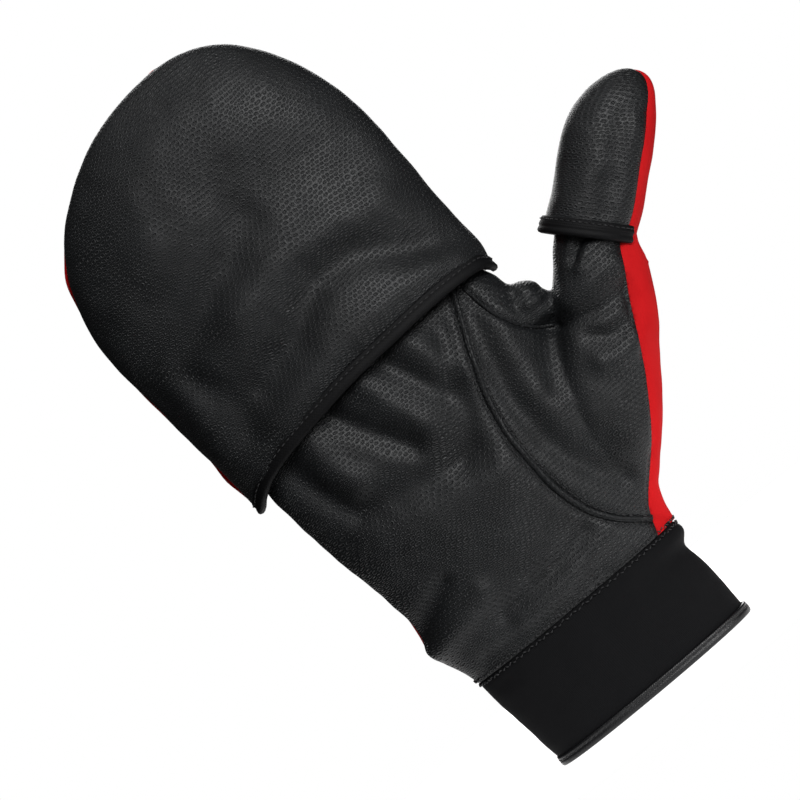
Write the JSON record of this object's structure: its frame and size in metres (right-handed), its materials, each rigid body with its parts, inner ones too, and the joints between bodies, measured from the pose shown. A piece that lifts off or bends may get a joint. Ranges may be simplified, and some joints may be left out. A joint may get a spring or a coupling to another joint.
{
  "type": "convertible flip-top mitten",
  "caption": "Right-hand leather-palm mitten whose hood and thumb cap fold back to free the fingertips of the half-finger glove inside.",
  "frame": {"origin": "middle of the wrist opening in the plane of the hem", "axes": "+Z from the wrist to the fingertips, palm facing -Y, thumb on +X"},
  "size_m": [0.2029, 0.0467, 0.271],
  "materials": {
    "leather": "black synthetic leather with a fine embossed dash grain and a soft sheen",
    "softshell": "red soft-shell fabric, matt, fine knit face",
    "neoprene": "black knit-faced neoprene, matt",
    "hem_tape": "black smooth folded tape, slightly glossy",
    "binding_tape": "black woven folded tape, matt",
    "fleece": "black brushed fleece",
    "stall_knit": "dark ribbed knit",
    "hook_and_loop": "black hook-and-loop tape"
  },
  "bodies": {
    "glove": {"palm_panel": "leather", "thumb_panel": "leather", "crotch_gusset": "leather", "back_panel": "softshell", "hand_lining": "fleece", "cuff": "neoprene", "cuff_hem_binding": "hem_tape", "index_stall": "stall_knit", "index_stall_binding": "binding_tape", "middle_stall": "stall_knit", "middle_stall_binding": "binding_tape", "ring_stall": "stall_knit", "ring_stall_binding": "binding_tape", "little_stall": "stall_knit", "little_stall_binding": "binding_tape", "thumb_stall_binding": "binding_tape", "hood_base_band": "softshell", "loop_patch": "hook_and_loop"},
    "hood": {"hood_palm": "leather", "hood_back": "softshell", "hood_lining": "fleece", "hood_binding": "binding_tape", "hook_patch": "hook_and_loop"},
    "thumb_cap": {"thumb_cap_palm": "leather", "thumb_cap_back": "softshell", "thumb_cap_lining": "fleece", "thumb_cap_binding": "binding_tape"}
  },
  "joints": [
    {"name": "hood_flip", "type": "hinge", "parent": "glove", "child": "hood", "pos_m": [0, 0.022, 0.15], "axis": [-1, 0, 0], "range_deg": [0, 170]},
    {"name": "thumb_cap_flip", "type": "hinge", "parent": "glove", "child": "thumb_cap", "pos_m": [0.08815, 0.01038, 0.12488], "axis": [-0.4906, 0.6947, 0.5261], "range_deg": [0, 150]}
  ]
}
